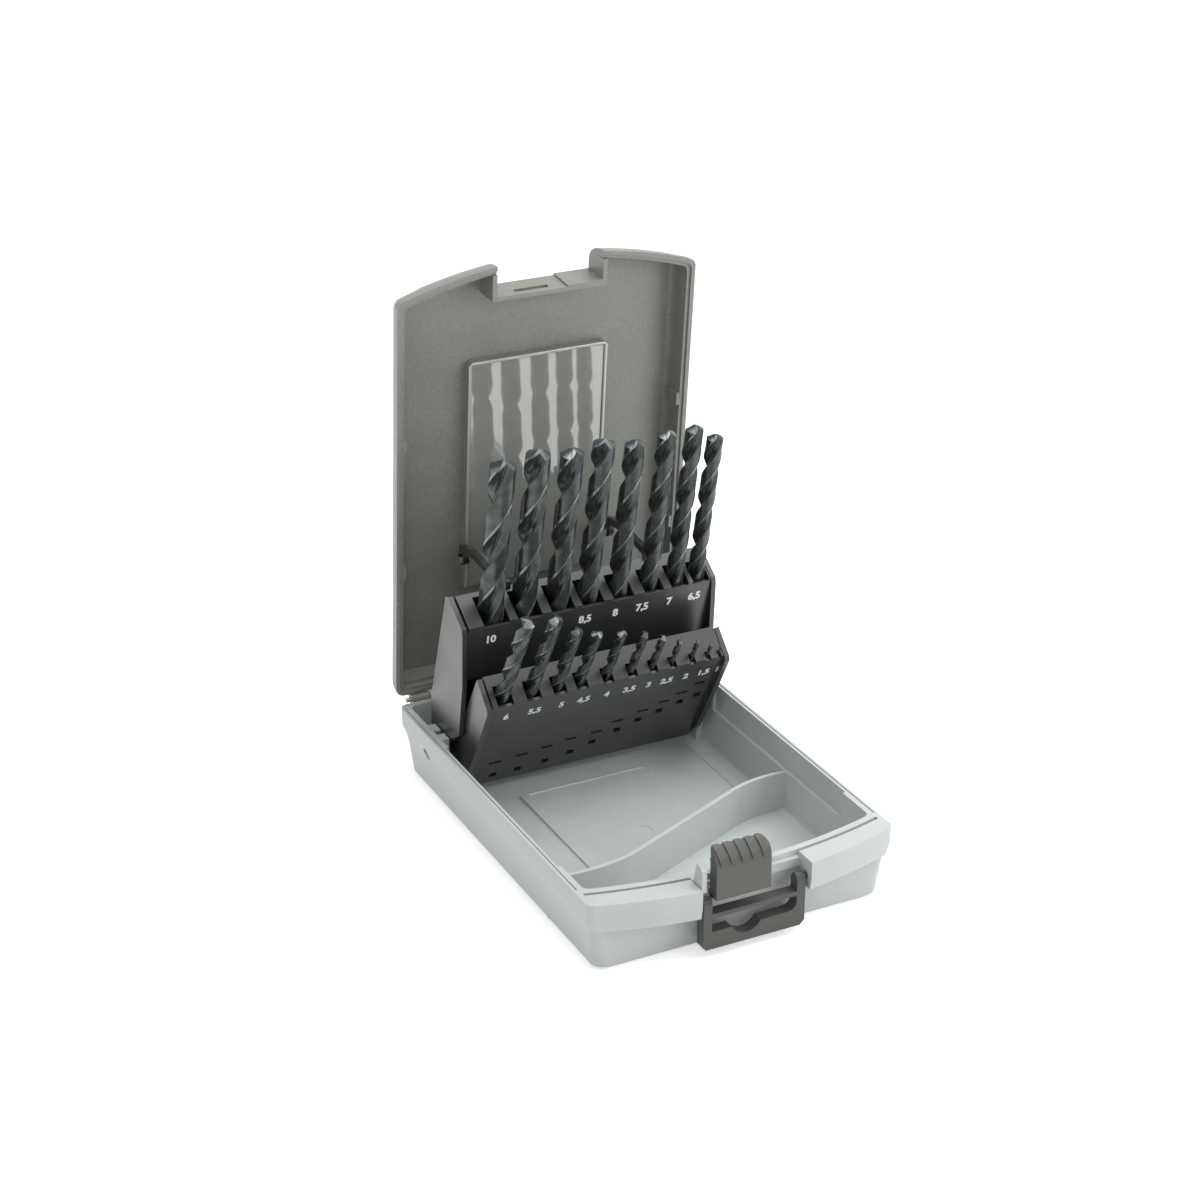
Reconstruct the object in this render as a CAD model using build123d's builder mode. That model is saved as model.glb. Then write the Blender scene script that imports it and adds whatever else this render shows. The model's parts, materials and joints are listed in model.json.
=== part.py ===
from build123d import *

import math
import os

# Drill bit case, stored open: a shallow tray, a hinged lid that stands at 85
# degrees, and two racks of twist drills that rise as the lid opens. Two lift
# links join the lid to the rear rack. A latch flap and a carry handle sit in a
# recess of the bowed front. Origin: centre of the tray underside, +Z up,
# +Y towards the lid hinge. Millimetres.

# Case plan and heights
CASE_HALF_WIDTH = 60.0
CASE_REAR = 81.15
CASE_CORNER = -81.15
CASE_BOW = -91.35
CORNER_RADIUS = 3.5
TRAY_HEIGHT = 28.1
PARTING_GAP = 0.3
LID_DEPTH = 12.1
FLOOR = 1.6

# Tray walls
BAND_BOTTOM = 17.0
BAND_FULL = 21.5
LOWER_FRONT = -80.6
LOWER_HALF_WIDTH = 57.9
LEDGE_HEIGHT = 17.6
CAVITY_HALF_WIDTH = 55.6
CAVITY_REAR = 78.9
CAVITY_CORNER = -70.6
CAVITY_BOW = -78.4
RIM_INNER_HALF = 57.6
DIVIDER_TOP = 17.5
DIVIDER_THICKNESS = 1.6
DIVIDER_LEFT = (-56.5, -42.9)
DIVIDER_BEND_LEFT = (-24.0, -41.6)
DIVIDER_BEND_RIGHT = (27.0, -19.2)
DIVIDER_RIGHT = (56.5, -13.5)

# Lid hinge
HINGE_Y = 83.5
HINGE_Z = 28.25
LID_OPEN = 85.0
BARREL_RADIUS = 2.0
HINGE_PIN_RADIUS = 0.9
HINGE_KNUCKLE_X = 43.0
HINGE_KNUCKLE_HALF = 3.2

# Racks: lean from vertical when open, top front edge (y, z), depth and pivot
REAR_LEAN = 12.0
REAR_TOP = (49.2, 80.9)
REAR_HALF = 50.6
REAR_DEPTH = 13.7
REAR_RISE = 5.3
REAR_PIVOT = (55.6, 25.0)
REAR_PLATE = 52.6
REAR_PIN_RADIUS = 1.8
REAR_OPEN_FRONT = 11.5
FRONT_LEAN = 30.0
FRONT_TOP = (30.4, 58.5)
FRONT_HALF = 48.3
FRONT_DEPTH = 11.7
FRONT_RISE = 3.1
FRONT_PIVOT = (57.0, 18.6)
FRONT_PLATE = 50.3
FRONT_PIN_RADIUS = 2.35
RACK_WALL = 1.3
POCKET_CLEARANCE = 0.2
SEAT = 1.6
PIN_CLEARANCE = 0.07

# Twist drills: diameter, x, tip above the rack's top front edge, length
REAR_DRILLS = [
    (10.0, -38.5, 67.0, 133.0),
    (9.5, -25.1, 69.0, 125.0),
    (9.0, -11.6, 67.0, 125.0),
    (8.5, 0.7, 68.7, 117.0),
    (8.0, 13.4, 66.0, 117.0),
    (7.5, 26.2, 67.6, 109.0),
    (7.0, 37.2, 68.0, 109.0),
    (6.5, 46.3, 62.5, 101.0),
]
FRONT_DRILLS = [
    (6.0, -42.5, 46.8, 93.0),
    (5.5, -31.0, 44.5, 93.0),
    (5.0, -20.4, 34.3, 86.0),
    (4.5, -11.4, 30.0, 80.0),
    (4.0, -0.6, 27.0, 75.0),
    (3.5, 9.6, 23.2, 70.0),
    (3.0, 18.4, 18.5, 61.0),
    (2.5, 26.6, 13.2, 57.0),
    (2.0, 34.9, 10.8, 49.0),
    (1.5, 41.6, 6.7, 40.0),
    (1.0, 46.4, 4.0, 34.0),
]
REAR_DRILL_FACE = 12.2
FRONT_DRILL_FACE = 10.4
POINT_SLOPE = 0.6

# Mould windows in the front rack's face: x, height from the top edge
SQUARE_WINDOWS = [
    (-37.5, -48.8), (-27.1, -48.7), (-16.0, -47.5), (-5.9, -45.2), (2.6, -41.5), (12.1, -36.8),
    (20.1, -33.0), (28.4, -29.9), (36.6, -26.7), (43.4, -24.4),
]
SLOT_WINDOWS = [
    (-38.5, -40.0), (-27.6, -38.8), (-17.5, -37.2), (-7.9, -35.4), (3.0, -34.8), (10.8, -30.2),
    (20.7, -27.0), (28.9, -23.9), (35.6, -20.3), (42.2, -15.9),
]

# Lift links
LINK_X = 30.8
LINK_HALF = 1.1
LINK_RACK_END = (48.07, 86.77)
LINK_LID_END_CLOSED = (28.72, 32.28)
LINK_LENGTH = 34.99
LINK_SLOPE = -5.21
LINK_PEG_RADIUS = 1.2
LINK_HOOK_BORE = 1.78

# Latch and handle
RECESS_HALF = 21.3
RECESS_BACK = -80.8
FLAP_LEFT = -16.3
FLAP_RIGHT = 4.9
FLAP_BOTTOM = 23.2
FLAP_TOP = 42.2
FLAP_FRONT = -90.4
FLAP_AXIS = (-86.2, 24.2)
HANDLE_AXIS = (-86.4, 21.5)
HANDLE_OUTER = 20.0
HANDLE_INNER = 16.6
HANDLE_FRONT = 88.6
HANDLE_DEPTH = 4.7

os.makedirs("parts", exist_ok=True)


def bowed_plan(height, half_width, rear, corner, bow, radius):
    """Sketch the case plan: a rectangle whose front edge bows out in one arc."""
    with BuildSketch(Plane.XY.offset(height)) as plan:
        with BuildLine():
            Polyline((half_width, corner), (half_width, rear), (-half_width, rear), (-half_width, corner))
            ThreePointArc((-half_width, corner), (0, bow), (half_width, corner))
        make_face()
        fillet(plan.vertices(), radius)
    return plan.sketch


def straight_plan(height, half_width, rear, front, radius):
    """Sketch a rounded rectangle for the tray's lower walls."""
    with BuildSketch(Plane.XY.offset(height)) as plan:
        with Locations((0, (rear + front) / 2)):
            RectangleRounded(2 * half_width, rear - front, radius)
    return plan.sketch


def block(x_low, x_high, y_low, y_high, z_low, z_high, mode=Mode.ADD):
    """Add or cut one box given by its limits."""
    with Locations(((x_low + x_high) / 2, (y_low + y_high) / 2, (z_low + z_high) / 2)):
        Box(x_high - x_low, y_high - y_low, z_high - z_low, mode=mode)


def counter_clockwise(points):
    """Return the outline's points in counter-clockwise order."""
    area = sum(a[0] * b[1] - b[0] * a[1] for a, b in zip(points, points[1:] + points[:1]))
    return points if area > 0 else points[::-1]


def side_slab(x_low, x_high, outline, mode=Mode.ADD):
    """Extrude an outline drawn in (y, z) along X."""
    with BuildSketch(Plane(origin=(x_low, 0, 0), x_dir=(0, 1, 0), z_dir=(1, 0, 0))) as profile:
        Polygon(*counter_clockwise(outline), align=None)
    extrude(profile.sketch, amount=x_high - x_low, mode=mode)


def cross_bar(x_low, x_high, axis, radius, mode=Mode.ADD):
    """Add or cut a cylinder along X about an axis given as (y, z)."""
    with BuildSketch(Plane(origin=(x_low, axis[0], axis[1]), x_dir=(0, 1, 0), z_dir=(1, 0, 0))) as profile:
        Circle(radius)
    extrude(profile.sketch, amount=x_high - x_low, mode=mode)


def side_plane(top, lean, x):
    """Plane across a rack at x: local x runs to the front face, local y up the drills."""
    angle = math.radians(lean)
    forward = (0, -math.cos(angle), -math.sin(angle))
    return Plane(origin=(x, top[0], top[1]), x_dir=forward, z_dir=(-1, 0, 0))


def rack_slab(top, lean, x_low, x_high, outline, mode=Mode.ADD):
    """Extrude an outline drawn in a rack's own (forward, up) frame along X."""
    with BuildSketch(side_plane(top, lean, x_high)) as profile:
        Polygon(*counter_clockwise(outline), align=None)
    extrude(profile.sketch, amount=x_high - x_low, mode=mode)


def rack_block(top, lean, x_low, x_high, back, face, low, high, mode=Mode.ADD):
    """Add or cut a box in a rack's own frame."""
    rack_slab(top, lean, x_low, x_high, [(back, low), (face, low), (face, high), (back, high)], mode)


def rack_point(top, lean, forward, up):
    """Return (y, z) of a point given in a rack's own frame."""
    angle = math.radians(lean)
    y = top[0] - forward * math.cos(angle) - up * math.sin(angle)
    z = top[1] - forward * math.sin(angle) + up * math.cos(angle)
    return (y, z)


def sockets(top, lean, drills, drill_face, ledge_face):
    """Cut each drill's rectangular pocket and the lower ledge of its front wall."""
    for diameter, x, tip, length in drills:
        half = diameter / 2 + POCKET_CLEARANCE
        back = drill_face - diameter - POCKET_CLEARANCE
        face = drill_face + POCKET_CLEARANCE
        seat = tip - length - 0.1
        rack_block(top, lean, x - half, x + half, back, face, seat, 12.0, Mode.SUBTRACT)
        rack_block(top, lean, x - half, x + half, face - 0.1, ledge_face + 1.0, -1.2, 12.0, Mode.SUBTRACT)


# ---------------------------------------------------------------- tray
with BuildPart() as tray:
    # Tapered lower walls, their S-curve out to the rim band, and the band
    loft(sections=[
        straight_plan(0.0, 54.9, 78.3, -78.2, 5.0),
        straight_plan(1.6, 56.4, 79.8, -79.9, 4.5),
        straight_plan(14.0, LOWER_HALF_WIDTH, 80.4, LOWER_FRONT, 4.0),
        straight_plan(17.6, 58.7, 80.7, LOWER_FRONT, 4.0),
        straight_plan(BAND_FULL, CASE_HALF_WIDTH, CASE_REAR, LOWER_FRONT, CORNER_RADIUS),
        straight_plan(TRAY_HEIGHT, CASE_HALF_WIDTH, CASE_REAR, LOWER_FRONT, CORNER_RADIUS),
    ], ruled=True)

    # Bowed front band
    loft(sections=[
        bowed_plan(BAND_BOTTOM, 58.6, -60.0, -80.6, -90.6, 3.0),
        bowed_plan(BAND_FULL, CASE_HALF_WIDTH, -60.0, CASE_CORNER, CASE_BOW, CORNER_RADIUS),
        bowed_plan(TRAY_HEIGHT, CASE_HALF_WIDTH, -60.0, CASE_CORNER, CASE_BOW, CORNER_RADIUS),
    ], ruled=True)

    # Inside of the tray, rounded into the floor, with a ledge along both sides
    loft(sections=[
        bowed_plan(FLOOR, CAVITY_HALF_WIDTH - 2.2, CAVITY_REAR - 2.2, CAVITY_CORNER + 2.2, CAVITY_BOW + 2.2, 2.0),
        bowed_plan(FLOOR + 0.9, CAVITY_HALF_WIDTH - 0.7, CAVITY_REAR - 0.7, CAVITY_CORNER + 0.7, CAVITY_BOW + 0.7, 2.6),
        bowed_plan(FLOOR + 2.6, CAVITY_HALF_WIDTH, CAVITY_REAR, CAVITY_CORNER, CAVITY_BOW, 3.0),
        bowed_plan(TRAY_HEIGHT, CAVITY_HALF_WIDTH + 0.8, CAVITY_REAR, CAVITY_CORNER, CAVITY_BOW, 3.0),
    ], ruled=True, mode=Mode.SUBTRACT)
    block(-RIM_INNER_HALF, RIM_INNER_HALF, -53.0, 42.0, LEDGE_HEIGHT, TRAY_HEIGHT, Mode.SUBTRACT)

    # Groove in the rim's top, and the deeper gap behind the front band
    with BuildSketch(Plane.XY.offset(TRAY_HEIGHT)):
        with Locations((0, 2.0)):
            Rectangle(2 * 59.1, 2 * 78.2)
            Rectangle(2 * 58.5, 2 * 77.6, mode=Mode.SUBTRACT)
        with Locations((0, -80.0)):
            Rectangle(130, 20, mode=Mode.SUBTRACT)
    extrude(amount=-0.6, mode=Mode.SUBTRACT)
    with BuildSketch(Plane.XY.offset(TRAY_HEIGHT)):
        with BuildLine():
            Line((-57.9, -72.9), (-57.9, -74.3))
            ThreePointArc((-57.9, -74.3), (0, -82.2), (57.9, -74.3))
            Line((57.9, -74.3), (57.9, -72.9))
            ThreePointArc((57.9, -72.9), (0, -80.8), (-57.9, -72.9))
        make_face()
    extrude(amount=-3.0, mode=Mode.SUBTRACT)

    # Recess for the latch flap and the handle, with its two-step back wall
    block(-RECESS_HALF, RECESS_HALF, -95.0, RECESS_BACK, BAND_BOTTOM - 1.0, TRAY_HEIGHT + 1.0, Mode.SUBTRACT)
    block(-RECESS_HALF, RECESS_HALF, RECESS_BACK - 1.2, RECESS_BACK + 1.0, 22.6, 26.0)

    # Curved divider between the racks' space and the front compartment
    with BuildSketch(Plane.XY.offset(FLOOR - 0.2)):
        with BuildLine():
            ThreePointArc(DIVIDER_LEFT, (-40.7, -44.1), DIVIDER_BEND_LEFT)
            Line(DIVIDER_BEND_LEFT, DIVIDER_BEND_RIGHT)
            ThreePointArc(DIVIDER_BEND_RIGHT, (40.5, -14.2), DIVIDER_RIGHT)
        trace(line_width=DIVIDER_THICKNESS)
    extrude(amount=DIVIDER_TOP - FLOOR + 0.2)

    # Raised floor panel under the racks, ejector mark and floor ribs
    with BuildSketch(Plane.XY.offset(FLOOR - 0.2)):
        Polygon(
            (29.0, -18.4), (29.0, 37.8), (-29.0, 37.8), (-29.0, -43.3), DIVIDER_BEND_LEFT, DIVIDER_BEND_RIGHT,
            align=None)
    extrude(amount=1.0)
    with Locations((0, -6.0, FLOOR + 0.8)):
        Cylinder(4.0, 0.5, mode=Mode.SUBTRACT)
    for rib_x in (-47.7, 47.7):
        block(rib_x - 0.35, rib_x + 0.35, -11.5, 50.0, FLOOR - 0.2, FLOOR + 0.4)

    # Pivot posts: a through hole for the front rack, a snap slot for the rear rack
    for side in (-1, 1):
        low, high = sorted((side * 53.0, side * 56.0))
        block(low, high, 49.2, 62.6, FLOOR - 0.2, 27.4)
        low, high = sorted((side * 52.0, side * 62.0))
        cross_bar(low, high, FRONT_PIVOT, FRONT_PIN_RADIUS + PIN_CLEARANCE, Mode.SUBTRACT)
        low, high = sorted((side * 52.0, side * 56.4))
        cross_bar(low, high, REAR_PIVOT, REAR_PIN_RADIUS + PIN_CLEARANCE, Mode.SUBTRACT)
        block(low, high, REAR_PIVOT[0] - 1.5, REAR_PIVOT[0] + 1.5, REAR_PIVOT[1], 29.0, Mode.SUBTRACT)

    # Hinge knuckles on the rear wall
    for side in (-1, 1):
        low = side * HINGE_KNUCKLE_X - HINGE_KNUCKLE_HALF
        high = side * HINGE_KNUCKLE_X + HINGE_KNUCKLE_HALF
        cross_bar(low, high, (HINGE_Y, HINGE_Z), BARREL_RADIUS)
        side_slab(low, high, [(80.6, 18.5), (80.6, 28.0), (HINGE_Y, 28.25), (HINGE_Y + 2.0, 28.0), (83.2, 24.0)])
        cross_bar(low, high, (HINGE_Y, HINGE_Z), HINGE_PIN_RADIUS + 0.02, Mode.SUBTRACT)

    # Lug for the latch flap, guard ear beside it, and the handle's pivot holes
    cross_bar(-9.9, -2.5, FLAP_AXIS, 1.9)
    side_slab(-9.9, -2.5, [(RECESS_BACK, 18.0), (RECESS_BACK, 27.0), (-86.2, 26.1), (-88.1, 24.2), (-86.4, 22.3),
                           (-83.8, 22.3), (-83.8, 20.0)])
    cross_bar(-9.9, -2.5, FLAP_AXIS, 0.82, Mode.SUBTRACT)
    side_slab(-20.9, -19.0, [(-78.9, 25.6), (-82.2, 25.6), (-88.4, 26.4), (-88.4, 34.6), (-87.2, 36.0),
                             (-84.4, 36.0), (-82.4, 28.1), (-78.9, 28.1)])
    for side in (-1, 1):
        low, high = sorted((side * RECESS_HALF, side * 23.4))
        cross_bar(low, high, HANDLE_AXIS, 1.26, Mode.SUBTRACT)

tray.part.label = "tray"
export_step(tray.part, "parts/tray.step")

# ---------------------------------------------------------------- lid
LID_RIM = TRAY_HEIGHT + PARTING_GAP
LID_TOP = LID_RIM + LID_DEPTH
NOTCH_WALL = -78.3
NOTCH_WALL_RIGHT = -79.0
NOTCH_STEP_X = 7.0
FRAME_OUTER = 28.5
FRAME_INNER = 27.2
FRAME_EDGE = 36.0
FRAME_FRONT = -50.4
FRAME_REAR = 43.4
PANEL_HALF = 27.75
PANEL_LOW = 36.4
PANEL_HIGH = 37.6
PEG_LUG = 29.3

with BuildPart() as lid:
    # Outer shell, modelled closed
    loft(sections=[
        bowed_plan(LID_RIM, CASE_HALF_WIDTH, CASE_REAR, CASE_CORNER, CASE_BOW, CORNER_RADIUS),
        bowed_plan(LID_TOP - 3.0, 59.5, 80.7, -80.6, -90.8, CORNER_RADIUS),
        bowed_plan(LID_TOP - 0.9, 58.7, 79.9, -79.8, -90.0, 3.0),
        bowed_plan(LID_TOP, 57.0, 78.2, -78.1, -88.3, 2.6),
    ], ruled=True)

    # Inside, with a shallow step around the rim
    loft(sections=[
        bowed_plan(LID_RIM, 57.0, 78.6, -78.6, -88.6, 3.0),
        bowed_plan(LID_TOP - 1.1, 56.4, 78.0, -78.0, -88.0, 3.0),
    ], ruled=True, mode=Mode.SUBTRACT)
    extrude(bowed_plan(LID_RIM, 58.4, 79.7, -79.7, -89.8, 3.0), amount=0.8, mode=Mode.SUBTRACT)

    # Stepped notch for the latch flap in the front edge, with a groove for its hook
    block(-23.1, 23.1, -86.9, NOTCH_WALL + 1.6, LID_RIM, LID_TOP - 0.6)
    block(-RECESS_HALF, NOTCH_STEP_X, -95.0, NOTCH_WALL, LID_RIM - 1.0, LID_TOP + 1.0, Mode.SUBTRACT)
    block(NOTCH_STEP_X - 0.1, RECESS_HALF, -95.0, NOTCH_WALL_RIGHT, LID_RIM - 1.0, LID_TOP + 1.0, Mode.SUBTRACT)
    block(-13.0, 0.6, NOTCH_WALL - 0.1, NOTCH_WALL + 0.9, 30.8, 33.2, Mode.SUBTRACT)

    # Raised frame round the glossy panel, open at the rear and grooved inside
    with BuildSketch(Plane.XY.offset(FRAME_EDGE)):
        Polygon(
            (FRAME_OUTER, FRAME_REAR), (-FRAME_OUTER, FRAME_REAR), (-FRAME_OUTER, FRAME_FRONT + 1.2),
            (1.2 - FRAME_OUTER, FRAME_FRONT), (FRAME_OUTER - 1.2, FRAME_FRONT), (FRAME_OUTER, FRAME_FRONT + 1.2),
            align=None)
        with Locations((0, (FRAME_FRONT + FRAME_REAR) / 2 + 2.0)):
            Rectangle(2 * FRAME_INNER, FRAME_REAR - FRAME_FRONT + 1.4, mode=Mode.SUBTRACT)
    extrude(amount=LID_TOP - 0.6 - FRAME_EDGE)
    block(-PANEL_HALF - 0.05, PANEL_HALF + 0.05, FRAME_FRONT + 0.7, FRAME_REAR + 0.1, PANEL_LOW - 0.05,
          PANEL_HIGH + 0.05, Mode.SUBTRACT)
    # Ribs that back the panel
    for rib_x in (-14.0, 0.0, 14.0):
        block(rib_x - 0.6, rib_x + 0.6, FRAME_FRONT + 1.0, FRAME_REAR - 1.0, PANEL_HIGH + 0.1, LID_TOP - 0.6)

    # Pegs for the lift links on lugs of the frame
    for side in (-1, 1):
        low, high = sorted((side * (PANEL_HALF + 0.1), side * PEG_LUG))
        cross_bar(low, high, LINK_LID_END_CLOSED, 1.7)
        block(low, high, LINK_LID_END_CLOSED[0] - 1.7, LINK_LID_END_CLOSED[0] + 1.7, LINK_LID_END_CLOSED[1],
              LID_TOP - 0.6)
        low, high = sorted((side * (PEG_LUG - 0.1), side * 32.4))
        cross_bar(low, high, LINK_LID_END_CLOSED, LINK_PEG_RADIUS)

    # Ledge inside the rear wall, clips on the side walls
    block(-56.0, 56.0, 77.0, 79.0, LID_RIM + 3.0, LID_TOP - 0.6)
    for side in (-1, 1):
        for clip_y in (-27.0, 26.0):
            low, high = sorted((side * 55.8, side * 57.4))
            block(low, high, clip_y, clip_y + 5.0, LID_RIM + 0.9, LID_TOP - 0.8)

    # Long hinge barrel with gaps for the tray's knuckles
    cross_bar(-54.0, 54.0, (HINGE_Y, HINGE_Z), BARREL_RADIUS)
    side_slab(-54.0, 54.0, [(80.9, 31.4), (80.9, LID_RIM + 2.0), (82.2, HINGE_Z + 1.4), (HINGE_Y, HINGE_Z + 1.6),
                            (82.4, 31.4)])
    for side in (-1, 1):
        low = side * HINGE_KNUCKLE_X - HINGE_KNUCKLE_HALF - 0.3
        high = side * HINGE_KNUCKLE_X + HINGE_KNUCKLE_HALF + 0.3
        block(low, high, CASE_REAR + 0.05, 86.5, 25.0, 31.4, Mode.SUBTRACT)
        cross_bar(side * HINGE_KNUCKLE_X - 13.2, side * HINGE_KNUCKLE_X + 13.2, (HINGE_Y, HINGE_Z),
                  HINGE_PIN_RADIUS + 0.06, Mode.SUBTRACT)

HINGE_AXIS = Axis((0, HINGE_Y, HINGE_Z), (1, 0, 0))
lid_open = lid.part.rotate(HINGE_AXIS, -LID_OPEN)
lid_open.label = "lid"
export_step(lid_open, "parts/lid.step")

# ---------------------------------------------------------------- glossy panel in the lid's frame
with BuildPart() as lid_panel:
    block(-PANEL_HALF, PANEL_HALF, FRAME_FRONT + 0.75, FRAME_REAR, PANEL_LOW, PANEL_HIGH)

panel_open = lid_panel.part.rotate(HINGE_AXIS, -LID_OPEN)
panel_open.label = "lid_panel"
export_step(panel_open, "parts/lid_panel.step")

# ---------------------------------------------------------------- hinge pins
with BuildPart() as hinge_pins:
    for side in (-1, 1):
        cross_bar(side * HINGE_KNUCKLE_X - 13.0, side * HINGE_KNUCKLE_X + 13.0 - 2.1 * (side + 1) / 2,
                  (HINGE_Y, HINGE_Z), HINGE_PIN_RADIUS)

hinge_pins.part.label = "hinge_pins"
export_step(hinge_pins.part, "parts/hinge_pins.step")

# ---------------------------------------------------------------- rear rack
with BuildPart() as rear_rack:
    # Upper block with its slanted top, and the thin back wall
    rack_slab(REAR_TOP, REAR_LEAN, -REAR_HALF, REAR_HALF,
              [(0, REAR_RISE), (REAR_DEPTH, 0), (REAR_DEPTH, -24), (0, -24)])
    rack_block(REAR_TOP, REAR_LEAN, -REAR_HALF, REAR_HALF, 0, 1.6, -60.0, -23.9)
    # Stepped columns under the block, open in front
    for diameter, x, tip, length in REAR_DRILLS:
        half = diameter / 2 + POCKET_CLEARANCE + RACK_WALL
        rack_block(REAR_TOP, REAR_LEAN, x - half, min(x + half, REAR_HALF), 0, REAR_OPEN_FRONT,
                   tip - length - SEAT, -23.9)
    # End plates that reach down to the pivots
    for side in (-1, 1):
        low, high = sorted((side * REAR_HALF, side * REAR_PLATE))
        rack_slab(REAR_TOP, REAR_LEAN, low, high,
                  [(-2.2, 4.2), (-0.6, 5.3), (0.0, 5.3), (13.3, 0.0), (14.4, -2.4), (17.7, -24.0), (18.1, -46.0),
                   (8.81, -55.2), (7.4, -58.2), (1.96, -56.8), (-6.0, -57.6), (-7.9, -45.0)])
        cross_bar(low, high, REAR_PIVOT, 3.5)
        low, high = sorted((side * REAR_HALF, side * 56.0))
        cross_bar(low, high, REAR_PIVOT, REAR_PIN_RADIUS)
    sockets(REAR_TOP, REAR_LEAN, REAR_DRILLS, REAR_DRILL_FACE, REAR_DEPTH)
    # Slot between the top and each end plate
    for side in (-1, 1):
        low, high = sorted((side * (REAR_HALF - 0.8), side * REAR_HALF))
        if side > 0:
            low = REAR_HALF - 0.35
        rack_block(REAR_TOP, REAR_LEAN, low, high, -1.0, REAR_DEPTH + 1.0, -2.4, 8.0, Mode.SUBTRACT)
    # Lugs, relief and pins for the lift links at the top rear edge
    for side in (-1, 1):
        centre = side * LINK_X
        gap = LINK_HALF + 0.25
        rack_block(REAR_TOP, REAR_LEAN, centre - gap, centre + gap, -0.5, 1.3, -36.0, 8.0, Mode.SUBTRACT)
        cross_bar(centre - gap, centre + gap, LINK_RACK_END, 2.4, Mode.SUBTRACT)
        for lug in (-1, 1):
            low, high = sorted((centre + lug * gap, centre + lug * (gap + 1.3)))
            cross_bar(low, high, LINK_RACK_END, 1.9)
        cross_bar(centre - gap - 0.1, centre + gap + 0.1, LINK_RACK_END, 0.9)

rear_rack.part.label = "rear_rack"
export_step(rear_rack.part, "parts/rear_rack.step")

# ---------------------------------------------------------------- front rack
with BuildPart() as front_rack:
    # Upper block, cut-back lower block and the front skirt
    rack_slab(FRONT_TOP, FRONT_LEAN, -FRONT_HALF, FRONT_HALF,
              [(0, FRONT_RISE), (FRONT_DEPTH, 0), (FRONT_DEPTH, -53.6), (9.9, -53.6), (9.9, -30.0), (4.2, -30.0),
               (4.2, -20.0), (0, -20.0)])
    for diameter, x, tip, length in FRONT_DRILLS:
        half = diameter / 2 + POCKET_CLEARANCE + RACK_WALL
        seat = tip - length
        low = max(seat - SEAT, -53.6)
        rack_block(FRONT_TOP, FRONT_LEAN, x - half, min(x + half, FRONT_HALF), 4.2, FRONT_DEPTH,
                   max(low, -46.0), -19.9)
        if low < -46.0:
            rack_block(FRONT_TOP, FRONT_LEAN, x - half, min(x + half, FRONT_HALF), 5.2, FRONT_DEPTH, low, -45.9)
    # End plates with their pivot lugs
    for side in (-1, 1):
        low, high = sorted((side * FRONT_HALF, side * FRONT_PLATE))
        rack_slab(FRONT_TOP, FRONT_LEAN, low, high,
                  [(0.4, 2.6), (12.0, -0.4), (13.2, -1.8), (13.6, -19.0), (13.6, -45.0), (11.5, -53.2), (4.0, -53.2),
                   (-2.6, -51.4), (-6.4, -49.2), (-6.2, -46.2), (0.0, -38.0)])
        cross_bar(low, high, FRONT_PIVOT, 3.6)
        low, high = sorted((side * FRONT_HALF, side * 58.6))
        cross_bar(low, high, FRONT_PIVOT, FRONT_PIN_RADIUS)
    sockets(FRONT_TOP, FRONT_LEAN, FRONT_DRILLS, FRONT_DRILL_FACE, FRONT_DEPTH)
    # Slot between the top and each end plate
    for side in (-1, 1):
        low, high = sorted((side * (FRONT_HALF - 0.5), side * FRONT_HALF))
        rack_block(FRONT_TOP, FRONT_LEAN, low, high, -1.0, FRONT_DEPTH + 1.0, -2.0, 6.0, Mode.SUBTRACT)
    # Mould windows through the front face
    for window_x, height in SQUARE_WINDOWS:
        rack_block(FRONT_TOP, FRONT_LEAN, window_x - 1.5, window_x + 1.5, FRONT_DEPTH - 2.0, FRONT_DEPTH + 1.0,
                   height - 1.4, height + 1.4, Mode.SUBTRACT)
    for window_x, height in SLOT_WINDOWS:
        rack_block(FRONT_TOP, FRONT_LEAN, window_x - 2.4, window_x + 2.4, FRONT_DEPTH - 2.0, FRONT_DEPTH + 1.0,
                   height - 0.7, height + 0.7, Mode.SUBTRACT)

front_rack.part.label = "front_rack"
export_step(front_rack.part, "parts/front_rack.step")


# ---------------------------------------------------------------- lift links
def link_outline():
    """Outline of a link's web in (y, z), from its rack end to its lid end."""
    angle = math.radians(LINK_SLOPE)
    points = []
    for along, above in [(0.0, -1.2), (5.0, -1.0), (14.0, 1.2), (23.0, 3.0), (30.5, 3.0), (33.0, 0.0), (37.0, -1.6),
                         (37.4, 1.2), (35.6, 5.2), (30.0, 6.0), (24.0, 6.0), (8.0, 2.6), (0.0, 1.2)]:
        y = LINK_RACK_END[0] + along * math.cos(angle) - above * math.sin(angle)
        z = LINK_RACK_END[1] + along * math.sin(angle) + above * math.cos(angle)
        points.append((y, z))
    return points


def link_lid_end():
    """Return the centre of a link's hook in the open pose."""
    angle = math.radians(LINK_SLOPE)
    return (LINK_RACK_END[0] + LINK_LENGTH * math.cos(angle), LINK_RACK_END[1] + LINK_LENGTH * math.sin(angle))


for side, label in ((-1, "lift_link_left"), (1, "lift_link_right")):
    with BuildPart() as link:
        low = side * LINK_X - LINK_HALF
        high = side * LINK_X + LINK_HALF
        side_slab(low, high, link_outline())
        cross_bar(low, high, LINK_RACK_END, 1.8)
        cross_bar(low, high, link_lid_end(), 2.7)
        cross_bar(low, high, LINK_RACK_END, 0.97, Mode.SUBTRACT)
        cross_bar(low, high, link_lid_end(), LINK_HOOK_BORE, Mode.SUBTRACT)
    link.part.label = label
    export_step(link.part, f"parts/{label}.step")

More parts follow.
